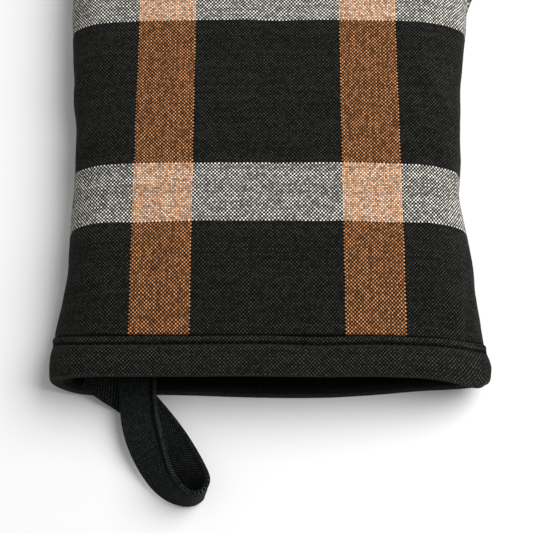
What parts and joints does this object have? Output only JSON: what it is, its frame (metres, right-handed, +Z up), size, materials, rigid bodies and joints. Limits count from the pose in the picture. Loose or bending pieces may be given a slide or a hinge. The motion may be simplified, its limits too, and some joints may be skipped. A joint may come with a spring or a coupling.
{
  "type": "oven mitt",
  "caption": "Padded cloth oven mitt with a thumb, a bound open cuff and a hanging loop, lying flat on its back panel.",
  "frame": {"origin": "on the surface it lies on, under the middle of the assembly's bounding box at rest", "axes": "+Z up, +Y from the cuff to the fingertips, +X towards the thumb"},
  "size_m": [0.222, 0.3836, 0.0285],
  "materials": {
    "plaid_cloth": "plain-woven cotton plaid: near-black ground, rust lengthwise stripes and cream crosswise stripes",
    "wadding": "lofty bonded fibre wadding",
    "lining_cloth": "thin plain-woven cotton",
    "binding_cloth": "plain-woven cotton, folded over the cuff's edge",
    "strap_cloth": "plain-woven cotton, folded and edge-stitched",
    "thread": "spun sewing thread"
  },
  "bodies": {
    "mitt": {"front_shell": "plaid_cloth", "front_wadding": "wadding", "front_lining": "lining_cloth", "back_shell": "plaid_cloth", "back_wadding": "wadding", "back_lining": "lining_cloth", "cuff_binding": "binding_cloth", "binding_stitches": "thread", "shell_seam_stitches": "thread", "lining_seam_stitches": "thread", "loop_sewn_ends": "strap_cloth", "loop_bartack": "thread"},
    "loop": {"hanging_loop": "strap_cloth", "loop_edge_stitches": "thread"}
  },
  "joints": [
    {"name": "loop_swing", "type": "hinge", "parent": "mitt", "child": "loop", "pos_m": [-0.07566, -0.1459, 0.00785], "axis": [1, 0, 0], "range_deg": [-75, 45]}
  ]
}
